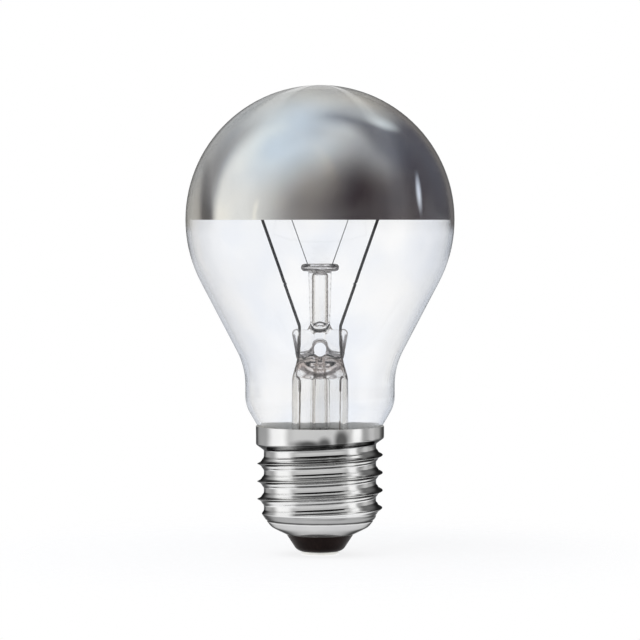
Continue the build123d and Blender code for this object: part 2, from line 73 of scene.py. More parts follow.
GROOVE = (0.16, 7.1, 0.16)  # depth, height and half width of the groove below the thread
DENT = 0.004
DENTS = ((3, 7.1, 0.3), (5, 4.3, 1.9), (8, 5.7, 4.0), (11, 3.1, 2.2))  # count round, height, shift
COLUMNS = 256
ROWS = 48  # in one turn of the thread
ROW_CROWDING = 0.7  # 0 spaces the rows evenly, and 1 gathers them most at the crest
SLOPE_STEP = 0.002  # over which the surface's slope is taken

# Stem
STEM = ("flare_and_press", "exhaust_tube", "arbor")
SLICE = 0.5  # height of the faces along the tubes
SHARP_ANGLE = 35


# Node helpers
class Graph:
    """Short calls for building one shader from nodes."""

    def __init__(self, tree):
        self.tree = tree
        tree.nodes.clear()

    def node(self, kind, **settings):
        made = self.tree.nodes.new(kind)
        for key, value in settings.items():
            setattr(made, key, value)
        return made

    def put(self, socket, value):
        """Links an output to a socket, or sets a plain value on it."""
        if isinstance(value, bpy.types.NodeSocket):
            self.tree.links.new(value, socket)
        else:
            socket.default_value = value

    def math(self, operation, *values, clamp=False):
        made = self.node("ShaderNodeMath", operation=operation, use_clamp=clamp)
        for socket, value in zip(made.inputs, values):
            self.put(socket, value)
        return made.outputs[0]

    def product(self, first, *others):
        for other in others:
            first = self.math("MULTIPLY", first, other)
        return first

    def distance(self, across, up):
        """Length of a vector in a plane."""
        squares = [self.math("POWER", part, 2.0) for part in (across, up)]
        return self.math("SQRT", self.math("ADD", *squares))

    def split(self, vector):
        """X, Y and Z of a vector."""
        made = self.node("ShaderNodeSeparateXYZ")
        self.put(made.inputs[0], vector)
        return [made.outputs[axis] for axis in "XYZ"]

    def ramp(self, value, low, high, start=0.0, end=1.0):
        """Smooth step of a value from start at low to end at high."""
        made = self.node("ShaderNodeMapRange", interpolation_type="SMOOTHSTEP")
        for socket, amount in zip(made.inputs, (value, low, high, start, end)):
            self.put(socket, amount)
        return made.outputs[0]

    def band(self, value, low, high, soft):
        """1 between low and high, with soft ends."""
        rise = self.ramp(value, low - soft, low + soft)
        return self.product(rise, self.ramp(value, high - soft, high + soft, 1.0, 0.0))

    def blend(self, factor, under, over):
        """Colour that goes from under to over with a factor."""
        made = self.node("ShaderNodeMix", data_type="RGBA")
        self.put(made.inputs["Factor"], factor)
        self.put(made.inputs[6], under)
        self.put(made.inputs[7], over)
        return made.outputs[2]

    def noise(self, scale, detail=3.0, roughness=0.5, stretch=(1, 1, 1)):
        """Noise value in the object's own space, with a scale in features per metre."""
        place = self.node("ShaderNodeTexCoord")
        move = self.node("ShaderNodeMapping")
        self.put(move.inputs["Vector"], place.outputs["Object"])
        move.inputs["Scale"].default_value = stretch
        made = self.node("ShaderNodeTexNoise")
        self.put(made.inputs["Vector"], move.outputs[0])
        made.inputs["Scale"].default_value = scale
        made.inputs["Detail"].default_value = detail
        made.inputs["Roughness"].default_value = roughness
        return made.outputs["Fac"]

    def bump(self, height, distance):
        made = self.node("ShaderNodeBump")
        made.inputs["Strength"].default_value = 1.0
        made.inputs["Distance"].default_value = distance
        self.put(made.inputs["Height"], height)
        return made.outputs[0]

    def facing(self):
        """0 where the surface is met head on, and 1 where it is grazed."""
        made = self.node("ShaderNodeLayerWeight")
        made.inputs["Blend"].default_value = 0.5
        return made.outputs["Facing"]

    def ray(self, *kinds):
        """1 for rays of the named kinds, and 0 for others."""
        light_path = self.node("ShaderNodeLightPath")
        total = light_path.outputs[kinds[0]]
        for kind in kinds[1:]:
            total = self.math("ADD", total, light_path.outputs[kind], clamp=True)
        return total

    def mix_shader(self, factor, under, over):
        made = self.node("ShaderNodeMixShader")
        for socket, value in zip(made.inputs, (factor, under, over)):
            self.put(socket, value)
        return made.outputs[0]


def srgb(*levels):
    """Scene colour of a colour given in the 0 to 255 levels of a picture."""
    shares = [level / 255 for level in levels]
    return [s / 12.92 if s <= 0.04045 else ((s + 0.055) / 1.055) ** 2.4 for s in shares] + [1.0]


def grey(level):
    return [level, level, level, 1]


WHITE = grey(1)


def material(name):
    made = bpy.data.materials.new(name)
    made.use_nodes = True
    graph = Graph(made.node_tree)
    output = graph.node("ShaderNodeOutputMaterial")
    return made, graph, output.inputs["Surface"]


def principled(graph, surface, **values):
    """Principled shader, with plain values or outputs of other nodes on its sockets."""
    made = graph.node("ShaderNodeBsdfPrincipled")
    for key, value in values.items():
        graph.put(made.inputs[key.replace("_", " ")], value)
    graph.put(surface, made.outputs[0])


# Glass
def smoke(graph, tint):
    """Tint that comes and goes over a centimetre or two."""
    return graph.blend(graph.ramp(graph.noise(60, detail=2), 0.35, 0.65), tint, WHITE)


def glass_shader(graph, colour, wave_scale, wave_depth, ripple=0.0):
    """Glass with slight waves in its surface, and a ripple added to them."""
    relief = graph.math("ADD", graph.noise(wave_scale, detail=1), ripple)
    glass = graph.node("ShaderNodeBsdfGlass", distribution="GGX")
    graph.put(glass.inputs["Color"], colour)
    glass.inputs["Roughness"].default_value = 0.0
    glass.inputs["IOR"].default_value = 1.5
    graph.put(glass.inputs["Normal"], graph.bump(relief, wave_depth))
    return glass.outputs[0]


def bulb_material():
    made, graph, surface = material("clear_glass")
    glass = glass_shader(graph, smoke(graph, [0.965, 0.974, 0.99, 1]), 45, 0.00001)
    # Light reaches what the bulb holds straight through its wall
    open_wall = graph.node("ShaderNodeBsdfTransparent")
    open_wall.inputs["Color"].default_value = grey(0.95)
    light = graph.ray("Is Shadow Ray", "Is Diffuse Ray")
    graph.put(surface, graph.mix_shader(light, glass, open_wall.outputs[0]))
    return made


def stem_material():
    """Lead glass with a faint drifting tint, and painted shade in dark edges and lines: in the
    press, round the wires and in the button.
    """
    made, graph, surface = material("stem_glass")
    x, _, z = graph.split(graph.node("ShaderNodeTexCoord").outputs["Object"])
    side = graph.math("DIVIDE", graph.math("ABSOLUTE", x), MM)  # away from the middle
    height = graph.math("DIVIDE", z, MM)
    facing = graph.facing()
    inside = graph.node("ShaderNodeNewGeometry").outputs["Backfacing"]

    def heights(low, high, soft):
        return graph.band(height, low, high, soft)

    def arc(centre, radius, half_width, low, high):
        """Thin arc about a point on the axis, between two heights."""
        far = graph.distance(side, graph.math("SUBTRACT", height, centre))
        line = graph.band(far, radius - half_width, radius + half_width, 0.12)
        return graph.product(line, heights(low, high, 0.15))

    bore = graph.product(graph.ramp(facing, 0.3, 0.5), inside)
    press = heights(38.7, 46.6, 1.0)
    button = graph.ramp(height, 57.7, 58.0)
    # Painted dark sheath of each wire, whose outer edge leans outward with height
    lean = graph.product(graph.math("SUBTRACT", height, 40.5), 0.206)
    beyond = graph.math("SUBTRACT", graph.math("SUBTRACT", side, 4.5), lean)
    sheath = graph.product(graph.band(beyond, -0.38, 0.3, 0.08), heights(40.6, 45.3, 0.3))
    wire_side = graph.product(graph.band(side, 4.2, 4.6, 0.12), heights(40.6, 45.0, 0.35))
    # Painted dark line along the rounded lower corner of the clear window on each side of the hole
    corner = graph.distance(
        graph.math("SUBTRACT", side, 3.3), graph.math("SUBTRACT", height, 42.9)
    )
    window = graph.product(graph.band(corner, 1.5, 2.1, 0.1), heights(40.6, 42.4, 0.25))
    mottle = graph.ramp(graph.noise(1400, detail=3), 0.35, 0.55)

    colour = smoke(graph, [0.999, 0.997, 0.992, 1])
    for mark, tint in (
        # Painted shade on walls seen on edge, on the bore's wall, and on the arbor's bore, which is
        # darker
        (graph.ramp(facing, 0.45, 0.95), (0.9, 0.89, 0.88)),
        (bore, (0.64, 0.62, 0.62)),
        (graph.product(bore, graph.ramp(height, 47.6, 48.2)), (0.3, 0.29, 0.29)),
        # Painted shade in the folds of the press, and painted dark sheaths, wire sides and window
        # corners
        (graph.product(graph.ramp(facing, 0.15, 0.65), press), (0.3, 0.27, 0.26)),
        (sheath, (0.3, 0.288, 0.285)),
        (wire_side, (0.45, 0.432, 0.4275)),
        (window, (0.3, 0.288, 0.285)),
        # Painted dark lines: ring round the hole, two arcs below it, and the arch at the arbor's
        # foot
        (arc(42.0, 1.5, 0.2, 39.5, 44.5), (0.5, 0.48, 0.475)),
        (arc(42.0, 3.7, 0.2, 36.0, 40.9), (0.5, 0.48, 0.475)),
        (arc(43.4, 6.35, 0.2, 36.0, 40.9), (0.5, 0.48, 0.475)),
        (arc(46.2, 1.6, 0.12, 46.4, 49.0), (0.35, 0.336, 0.3325)),
        # Brown patches under the hole
        (
            graph.product(heights(37.8, 40.8, 0.5), graph.ramp(graph.noise(500), 0.35, 0.6)),
            (0.86, 0.82, 0.8),
        ),
        # Mottled button, with painted shade at its ends
        (graph.product(mottle, button), (0.74, 0.73, 0.73)),
        (
            graph.product(graph.ramp(facing, 0.2, 0.8), button, graph.ramp(side, 2.2, 3.0)),
            (0.55, 0.54, 0.54),
        ),
    ):
        colour = graph.blend(mark, colour, [*tint, 1])
    ripple = graph.product(graph.noise(1300, detail=2), button, 4.0)
    graph.put(surface, glass_shader(graph, colour, 300, 0.00003, ripple))
    return made


# Metal, cement and the black glass
def metal_material(name, pale, dull, roughness, grain_scale, grain_depth):
    """Metal whose colour and polish drift a little over its surface, with a fine grain."""
    made, graph, surface = material(name)
    drift = graph.ramp(graph.noise(150, detail=4), 0.3, 0.7)
    principled(
        graph,
        surface,
        Base_Color=graph.blend(drift, pale, dull),
        Metallic=1.0,
        Roughness=graph.ramp(drift, 0, 1, *roughness),
        Normal=graph.bump(graph.noise(grain_scale, detail=3), grain_depth),
    )
    return made


def matt_material(name, pale, dark, roughness, grain_scale, grain_depth, gloss=0.5):
    made, graph, surface = material(name)
    grain = graph.noise(grain_scale, detail=5, roughness=0.6)
    principled(
        graph,
        surface,
        Base_Color=graph.blend(graph.ramp(grain, 0.35, 0.65), pale, dark),
        Roughness=roughness,
        Specular_IOR_Level=gloss,
        Normal=graph.bump(grain, grain_depth),
    )
    return made


# Painted reflection and painted shade along one turn of the thread, dark where the metal mirrors
# dark surroundings: 0.5 is on the crest, and more is above it
THREAD_TONES = (
    (0.0, 1), (0.06, 1), (0.14, 0.55), (0.25, 0.4), (0.34, 0.8), (0.455, 1), (0.485, 0.45),
    (0.515, 1), (0.62, 0.8), (0.65, 0.12), (0.69, 0.12), (0.72, 0.85), (0.79, 0.8),
    (0.81, 0.02), (0.865, 0.02), (0.895, 0.9),
)
# Painted shade in patches on the skirt: middle and reach, each in degrees round the cap and in
# height, and tone
SKIRT_SHADE_PATCHES = (
    ((-10, 23.3), (15, 1.0), 0.16),
    ((4, 23.5), (7, 1.5), 0.2),
    ((19, 24.0), (7, 2.5), 0.18),
)


def cap_material():
    """Nickel-plated sheet, with painted dark reflection lines along the thread's flanks, painted
    shade in patches on the skirt, and painted shade toward its edges and lower end.
    """
    made, graph, surface = material("cap_metal")
    place = graph.node("ShaderNodeTexCoord")
    x, y, z = graph.split(place.outputs["Object"])
    height = graph.math("DIVIDE", z, MM)
    angle = graph.math("ARCTAN2", y, x)
    drift = graph.noise(140, detail=3)
    stray = graph.math("SUBTRACT", drift, 0.5)

    # Painted dark reflection lines in the thread, which wander a little
    turn = graph.math("DIVIDE", graph.math("SUBTRACT", height, THREAD_START_Z), THREAD_PITCH)
    turn = graph.math("SUBTRACT", turn, graph.math("DIVIDE", angle, 2 * math.pi))
    turn = graph.math("ADD", turn, graph.product(stray, 0.05))
    lines = graph.node("ShaderNodeValToRGB")
    marks = lines.color_ramp.elements
    while len(marks) < len(THREAD_TONES):
        marks.new(0.5)
    for mark, (position, level) in zip(marks, THREAD_TONES):
        mark.position = position
        mark.color = grey(level)
    # The crest is half a turn on, and the whole turns keep the number above zero
    graph.put(lines.inputs[0], graph.math("FRACT", graph.math("ADD", turn, 10.5)))

    # They are strongest in three ragged sectors round the cap, the first of them at the front
    sector = graph.math("ADD", graph.math("DEGREES", angle), 90.0)
    sector = graph.math("WRAP", sector, 60.0, -60.0)
    ragged = graph.product(graph.math("SUBTRACT", graph.noise(900, detail=2), 0.5), 14.0)
    off_middle = graph.math("ADD", graph.math("ABSOLUTE", sector), ragged)
    # Where the painted dark reflection lines show in full
    reflection_lines_share = graph.product(
        graph.ramp(off_middle, 21.0, 31.0, 1.0, 0.12),
        graph.band(height, 8.0, THREAD_TOP_Z - 0.15, 0.15),
    )
    tone = graph.blend(reflection_lines_share, WHITE, lines.outputs["Color"])

    # Painted shade in soft patches on the skirt
    on_skirt = graph.ramp(height, THREAD_TOP_Z - 0.2, THREAD_TOP_Z)
    for middle, reach, level in SKIRT_SHADE_PATCHES:
        far = graph.distance(
            graph.math("DIVIDE", graph.math("SUBTRACT", sector, middle[0]), reach[0]),
            graph.math("DIVIDE", graph.math("SUBTRACT", height, middle[1]), reach[1]),
        )
        shade_patch = graph.ramp(graph.math("ADD", far, stray), 0.3, 1.3, 1.0, 0.0)
        tone = graph.blend(graph.product(shade_patch, on_skirt), tone, grey(level))

    facing = graph.facing()
    tilt = graph.math("ABSOLUTE", graph.split(place.outputs["Normal"])[2])
    flank = graph.ramp(tilt, 0.12, 0.4)
    above_groove = graph.ramp(height, 6.8, 7.2)
    below_groove = graph.ramp(height, 6.8, 7.2, 1.0, 0.0)
    for mask, level in (
        # Painted shade on the cone below the thread, in its groove, and on the end of the cap
        (graph.product(graph.band(height, 7.0, 8.5, 0.15), 0.55), 0.06),
        (graph.product(graph.band(height, 6.95, 7.3, 0.1), 0.8), 0.06),
        (graph.product(graph.ramp(height, 6.6, 7.0, 1.0, 0.0), 0.3), 0.1),
        # Painted shade: the colour darkens toward the edges, and most of all on the thread's flanks
        (graph.ramp(facing, 0.6, 1.0, 0.0, 0.6), 0.08),
        (graph.product(flank, graph.ramp(height, 21.9, 22.3, 0.0, 0.6)), 0.08),
        (graph.product(flank, graph.ramp(facing, 0.48, 0.72, 0.0, 0.9), above_groove), 0.26),
        (graph.product(graph.ramp(facing, 0.7, 0.88, 0.0, 0.8), below_groove), 0.08),
    ):
        tone = graph.blend(mask, tone, grey(level))

    plating = graph.blend(graph.ramp(drift, 0.3, 0.7), srgb(248, 248, 247), srgb(238, 238, 238))
    colour = graph.node("ShaderNodeMix", data_type="RGBA", blend_type="MULTIPLY")
    colour.inputs["Factor"].default_value = 1.0
    graph.put(colour.inputs[6], plating)
    graph.put(colour.inputs[7], tone)
    principled(
        graph,
        surface,
        Base_Color=colour.outputs[2],
        Specular_Tint=colour.outputs[2],
        Metallic=1.0,
        Roughness=graph.ramp(drift, 0.3, 0.7, 0.09, 0.14),
        Normal=graph.bump(graph.noise(700, detail=3, stretch=(1, 1, 4)), 0.000002),
    )
    return made


clear_glass = bulb_material()
stem_glass = stem_material()
mirror = metal_material(
    "mirror_film", [0.93, 0.92, 0.9, 1], [0.9, 0.89, 0.87, 1], (0.06, 0.08), 90, 0.00001
)
lead_metal = matt_material(
    "lead_wire", srgb(26, 26, 28), srgb(12, 12, 14), 0.6, 3000, 0.000004, 0.15
)
seal_metal = metal_material(
    "seal_wire", srgb(90, 75, 70), srgb(50, 42, 40), (0.4, 0.5), 3000, 0.000004
)
support_metal = metal_material(
    "support_wire", srgb(165, 165, 166), srgb(120, 120, 122), (0.3, 0.4), 4000, 0.000004
)
filament_metal = metal_material(
    "filament_wire", srgb(120, 120, 124), srgb(80, 80, 84), (0.4, 0.5), 4000, 0.000004
)
outer_metal = metal_material(
    "outer_wire", srgb(120, 105, 95), srgb(80, 68, 60), (0.3, 0.4), 3000, 0.000004
)
cap_metal = cap_material()
contact_metal = metal_material(
    "contact_metal", srgb(250, 249, 246), srgb(240, 239, 234), (0.3, 0.4), 900, 0.00001
)
solder = metal_material(
    "solder", srgb(246, 246, 245), srgb(232, 232, 232), (0.3, 0.42), 900, 0.00002
)
cement = matt_material("cement", srgb(244, 242, 236), srgb(232, 230, 222), 0.9, 1500, 0.00004)
cap_glass = matt_material(
    "cap_glass", srgb(36, 26, 24), srgb(29, 20, 19), 0.35, 500, 0.00001, 0.05
)

for name, look in {
    "glass_envelope": clear_glass,
    "silver_crown": mirror,
    "flare_and_press": stem_glass,
    "exhaust_tube": stem_glass,
    "arbor": stem_glass,
    "inner_lead_left": lead_metal,
    "inner_lead_right": lead_metal,
    "seal_wire_left": seal_metal,
    "seal_wire_right": seal_metal,
    "support_wire_left": support_metal,
    "support_wire_right": support_metal,
    "filament": filament_metal,
    "fuse_wire": outer_metal,
    "contact_lead": outer_metal,
    "side_lead": outer_metal,
    "cap_shell": cap_metal,
    "cap_insulator": cap_glass,
    "contact_plate": contact_metal,
    "contact_solder": solder,
    "side_solder": solder,
    "basing_cement": cement,
}.items():
    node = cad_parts[name]
    node.data.materials.clear()
    node.data.materials.append(look)


# Cap
def smooth_max(a, b, fold):
    return 0.5 * (a + b + np.sqrt((a - b) ** 2 + fold**2))


def smooth_min(a, b, fold):
    return -smooth_max(-a, -b, fold)


def smooth_step(value, low, high):
    share = np.clip((value - low) / (high - low), 0, 1)
    return share * share * (3 - 2 * share)


def cap_radius(angle, z):
    """Radius of the cap's outer surface at an angle counted from +X, and a height."""
    turn = (z - THREAD_START_Z) / THREAD_PITCH - angle / (2 * np.pi)
    off = np.abs(turn - np.round(turn)) * THREAD_PITCH
    blade = CREST_HEIGHT * np.exp(
        -(np.sqrt(off**2 + CREST_ROUNDING**2) - CREST_ROUNDING) / CREST_SPREAD
    )
    swell = SWELL_HEIGHT * (1 - smooth_step(off, *SWELL_EDGE))
    edge_z = SKIRT_EDGE_Z + SKIRT_LEAN * np.cos(angle)
    fade = 1 - smooth_step(z, edge_z - THREAD_FADE[0], edge_z - THREAD_FADE[1])
    thread = ROOT_RADIUS + (blade + swell) * fade
    lead_in = SHOULDER[0] + (z - SHOULDER[1]) * CONE_SLOPE
    under = SHOULDER[0] + (z - SHOULDER[1]) * (SHOULDER[0] - LIP[0]) / (SHOULDER[1] - LIP[1])
    groove = GROOVE[0] * np.exp(-(((z - GROOVE[1]) / GROOVE[2]) ** 2))
    lower = smooth_min(lead_in, under, SHOULDER_FOLD) - groove
    bevel = SKIRT_RADIUS - (edge_z - z) * SKIRT_SLOPE
    skirt = smooth_min(bevel, SKIRT_RADIUS, FOLD)
    radius = smooth_max(smooth_min(thread, lower, FOLD), skirt, FOLD)
    dents = 0
    for count, height, shift in DENTS:
        dents = dents + np.sin(count * angle + 2 * np.pi * z / height + shift)
    return radius + DENT * dents


def cap_normals(angle, z):
    """Directions square to the cap's outer surface."""
    step = SLOPE_STEP
    rise = (cap_radius(angle, z + step) - cap_radius(angle, z - step)) / (2 * step)
    turn = (cap_radius(angle + step, z) - cap_radius(angle - step, z)) / (2 * step)
    turn = turn / cap_radius(angle, z)
    normals = np.stack(
        [
            np.cos(angle) + np.sin(angle) * turn,
            np.sin(angle) - np.cos(angle) * turn,
            -rise,
        ],
        -1,
    )
    return normals / np.linalg.norm(normals, axis=-1, keepdims=True)


def cap_mesh():
    # Rows follow the thread: after one turn a row meets the one that lies a pitch above it
    share = np.linspace(-1, 1, ROWS, endpoint=False)
    offsets = THREAD_PITCH / 2 * ((1 - ROW_CROWDING) * share + ROW_CROWDING * share**3)
    first = math.floor((LIP[1] - THREAD_START_Z) / THREAD_PITCH) - 1
    turns = math.ceil((RIM_Z - THREAD_START_Z) / THREAD_PITCH) - first + 1
    heights = THREAD_START_Z + (
        np.arange(first, first + turns)[:, None] * THREAD_PITCH + offsets[None]
    ).ravel()
    angles = np.linspace(0, 2 * np.pi, COLUMNS, endpoint=False)
    angle, z = np.meshgrid(angles, heights)
    z = np.clip(z + THREAD_PITCH * angle / (2 * np.pi), LIP[1], RIM_Z)
    radius = cap_radius(angle, z)
    points = np.stack([radius * np.cos(angle), radius * np.sin(angle), z], -1)
    work = bmesh.new()
    grid = [[work.verts.new(point * MM) for point in row] for row in points]
    for j in range(len(heights) - 1):
        for i in range(COLUMNS):
            last = i == COLUMNS - 1
            if last and j + 1 + ROWS >= len(heights):
                continue
            lower_right = grid[j + ROWS][0] if last else grid[j][i + 1]
            upper_right = grid[j + 1 + ROWS][0] if last else grid[j + 1][i + 1]
            work.faces.new((grid[j][i], lower_right, upper_right, grid[j + 1][i]))
    # Rows that were clipped to the lip or the rim collapse
    bmesh.ops.remove_doubles(work, verts=work.verts, dist=1e-8)
    bmesh.ops.dissolve_degenerate(work, edges=work.edges, dist=1e-8)
    loose = [vert for vert in work.verts if not vert.link_faces]
    bmesh.ops.delete(work, geom=loose, context="VERTS")
    made = bpy.data.meshes.new("cap_sheet")
    work.to_mesh(made)
    work.free()
    made.shade_smooth()
    place = np.empty(len(made.vertices) * 3)
    made.vertices.foreach_get("co", place)
    x, y, z = place.reshape(-1, 3).T / MM
    made.normals_split_custom_set_from_vertices(cap_normals(np.arctan2(y, x), z).tolist())
    made.materials.append(cap_metal)
    return made


def lathe(name, profile, look, steps=96):
    """Surface of revolution about the axis, from (radius, height) pairs in millimetres."""
    points, faces = [], []
    for k in range(steps):
        angle = 2 * math.pi * k / steps
        points += [(r * math.cos(angle) * MM, r * math.sin(angle) * MM, z * MM) for r, z in profile]
    count = len(profile)
    for k in range(steps):
        a, b = k * count, (k + 1) % steps * count
        faces += [(a + i, b + i, b + i + 1, a + i + 1) for i in range(count - 1)]
    made = bpy.data.meshes.new(name)
    made.from_pydata(points, [], faces)
    made.shade_smooth()
    made.materials.append(look)
    return made


# Stem: flare, exhaust tube and arbor, melted into one
def fused(name, nodes):
    """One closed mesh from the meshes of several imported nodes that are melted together."""
    pieces = []
    for node_name in nodes:
        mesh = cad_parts[node_name].data.copy()
        work = bmesh.new()
        work.from_mesh(mesh)
        bmesh.ops.remove_doubles(work, verts=work.verts, dist=1e-7)
        # Short faces, so that the smooth shading stays true along the tubes
        low, high = (corner.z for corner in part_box(node_name))
        for level in np.arange(low + SLICE * MM, high, SLICE * MM):
            everything = list(work.verts) + list(work.edges) + list(work.faces)
            bmesh.ops.bisect_plane(
                work, geom=everything, dist=1e-8, plane_co=(0, 0, level), plane_no=(0, 0, 1)
            )
        work.to_mesh(mesh)
        work.free()
        piece = bpy.data.objects.new(name, mesh)
        scene.collection.objects.link(piece)
        pieces.append(piece)
    whole = pieces[0]
    for piece in pieces[1:]:
        join = whole.modifiers.new("join", "BOOLEAN")
        join.operation = "UNION"
        join.solver = "EXACT"
        join.object = piece
    bpy.context.view_layer.update()
    depsgraph = bpy.context.evaluated_depsgraph_get()
    mesh = bpy.data.meshes.new_from_object(whole.evaluated_get(depsgraph))
    for piece in pieces:
        bpy.data.objects.remove(piece)
    mesh.shade_smooth()
    mesh.set_sharp_from_angle(angle=math.radians(SHARP_ANGLE))
    mesh.materials.clear()
    mesh.materials.append(stem_glass)
    made = bpy.data.objects.new(name, mesh)
    scene.collection.objects.link(made)
    return made


stem = fused("stem", STEM)
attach(stem, "root")
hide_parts(*STEM)

cap = bpy.data.objects.new("cap_sheet", cap_mesh())
scene.collection.objects.link(cap)
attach(cap, "root")
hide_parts("cap_shell")

# Inner wall, a sheet's thickness inside the outer surface and clear of the skirt's leaning edge
inside = bpy.data.objects.new(
    "cap_inside",
    lathe(
        "cap_inside",
        [
            (SKIRT_RADIUS - 0.02, RIM_Z),
            (SKIRT_RADIUS - SHEET, RIM_Z),
            (SKIRT_RADIUS - SHEET, SKIRT_EDGE_Z + 0.95),
            (ROOT_RADIUS - SHEET, SKIRT_EDGE_Z - 0.2),
            (ROOT_RADIUS - SHEET, SHOULDER[1] + 2.2),
            (SHOULDER[0] - SHEET, SHOULDER[1] + 0.2),
            (LIP[0], LIP[1] + 0.32),
            (LIP[0], LIP[1]),
        ],
        cement,
    ),
)
scene.collection.objects.link(inside)
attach(inside, "root")

# Rays that see the white background, as against those that only carry light
SEEING = ("Is Camera Ray", "Is Glossy Ray", "Is Transmission Ray")

# Floor: pale disc under the part that fades into the white background
FLOOR_RADIUS = 0.1
FLOOR_FADE = (0.35, 0.95)  # shares of the radius
FLOOR_GLOW = 0.8  # share of the white that is painted on, so that only a pale shadow shows


def floor_material():
    made, graph, surface = material("floor_paper")
    place = graph.node("ShaderNodeTexCoord")
    reach = graph.node("ShaderNodeVectorMath", operation="LENGTH")
    graph.put(reach.inputs[0], place.outputs["Object"])
    paper = graph.node("ShaderNodeBsdfDiffuse")
    fibres = graph.noise(800, detail=4)
    tone = graph.blend(fibres, srgb(236, 236, 236), srgb(240, 240, 240))
    graph.put(paper.inputs["Color"], tone)
    shaded = graph.node("ShaderNodeBsdfDiffuse")
    shaded.inputs["Color"].default_value = srgb(128, 128, 130)
    glow = graph.node("ShaderNodeEmission")
    glow.inputs["Color"].default_value = WHITE
    glow.inputs["Strength"].default_value = FLOOR_GLOW
    white = graph.node("ShaderNodeAddShader")
    graph.put(white.inputs[0], shaded.outputs[0])
    graph.put(white.inputs[1], glow.outputs[0])
    seen_floor = graph.mix_shader(graph.ray(*SEEING), paper.outputs[0], white.outputs[0])
    clear = graph.node("ShaderNodeBsdfTransparent")
    start, end = (FLOOR_RADIUS * share for share in FLOOR_FADE)
    fade = graph.ramp(reach.outputs["Value"], start, end)
    graph.put(surface, graph.mix_shader(fade, seen_floor, clear.outputs[0]))
    return made


bpy.ops.mesh.primitive_circle_add(vertices=128, radius=FLOOR_RADIUS, fill_type="NGON")
floor = bpy.context.object
floor.name = "floor"
floor.data.materials.append(floor_material())

# World: white background, and painted studios that mirror, metal and glass reflect.
# A direction is written as the place on a mirror ball, seen from the front, where it shows:
# across from -1 to 1 and up from -1 to 1.
world = bpy.data.worlds.new("studio")
scene.world = world
world.use_nodes = True
sky = Graph(world.node_tree)
output = sky.node("ShaderNodeOutputWorld")
place = sky.node("ShaderNodeTexCoord")
toward = sky.node("ShaderNodeVectorMath", operation="ADD")
sky.put(toward.inputs[0], place.outputs["Generated"])
toward.inputs[1].default_value = (0, -1, 0)
ball_normal = sky.node("ShaderNodeVectorMath", operation="NORMALIZE")
sky.put(ball_normal.inputs[0], toward.outputs[0])
across, _, up = sky.split(ball_normal.outputs[0])
# As across, but measured in the width that the ball has at that height
level_width = sky.math("SQRT", sky.math("SUBTRACT", 1.0001, sky.math("POWER", up, 2.0)))
column = sky.math("DIVIDE", across, level_width)


def patch(centre, reach, turn, soft):
    """Soft ellipse on the mirror ball: 1 inside, 0 outside."""
    c, s = math.cos(math.radians(turn)), math.sin(math.radians(turn))
    dx = sky.math("SUBTRACT", across, centre[0])
    dy = sky.math("SUBTRACT", up, centre[1])
    along = sky.math("ADD", sky.product(dx, c), sky.product(dy, s))
    beside = sky.math("ADD", sky.product(dx, -s), sky.product(dy, c))
    far = sky.distance(
        sky.math("DIVIDE", along, reach[0]), sky.math("DIVIDE", beside, reach[1])
    )
    return sky.ramp(far, 1 - soft, 1 + soft, 1.0, 0.0)


def ring(centre, radius, half_width, soft, span, span_soft):
    """Soft arc on the mirror ball between two angles, counted from the right."""
    dx = sky.math("SUBTRACT", across, centre[0])
    dy = sky.math("SUBTRACT", up, centre[1])
    off = sky.math("ABSOLUTE", sky.math("SUBTRACT", sky.distance(dx, dy), radius))
    line = sky.ramp(off, half_width - soft, half_width + soft, 1.0, 0.0)
    angle = sky.math("DEGREES", sky.math("ARCTAN2", dy, dx))
    return sky.product(line, sky.band(angle, span[0], span[1], span_soft))


def strip(middle, half_width, soft):
    """Strip that runs up the mirror ball like a segment of an orange."""
    off = sky.math("ABSOLUTE", sky.math("SUBTRACT", column, middle))
    return sky.ramp(off, half_width - soft, half_width + soft, 1.0, 0.0)


def painted(colour, layers):
    for mask, level, cover in layers:
        cover = mask if cover == 1 else sky.product(mask, cover)
        colour = sky.blend(cover, colour, level)
    return colour


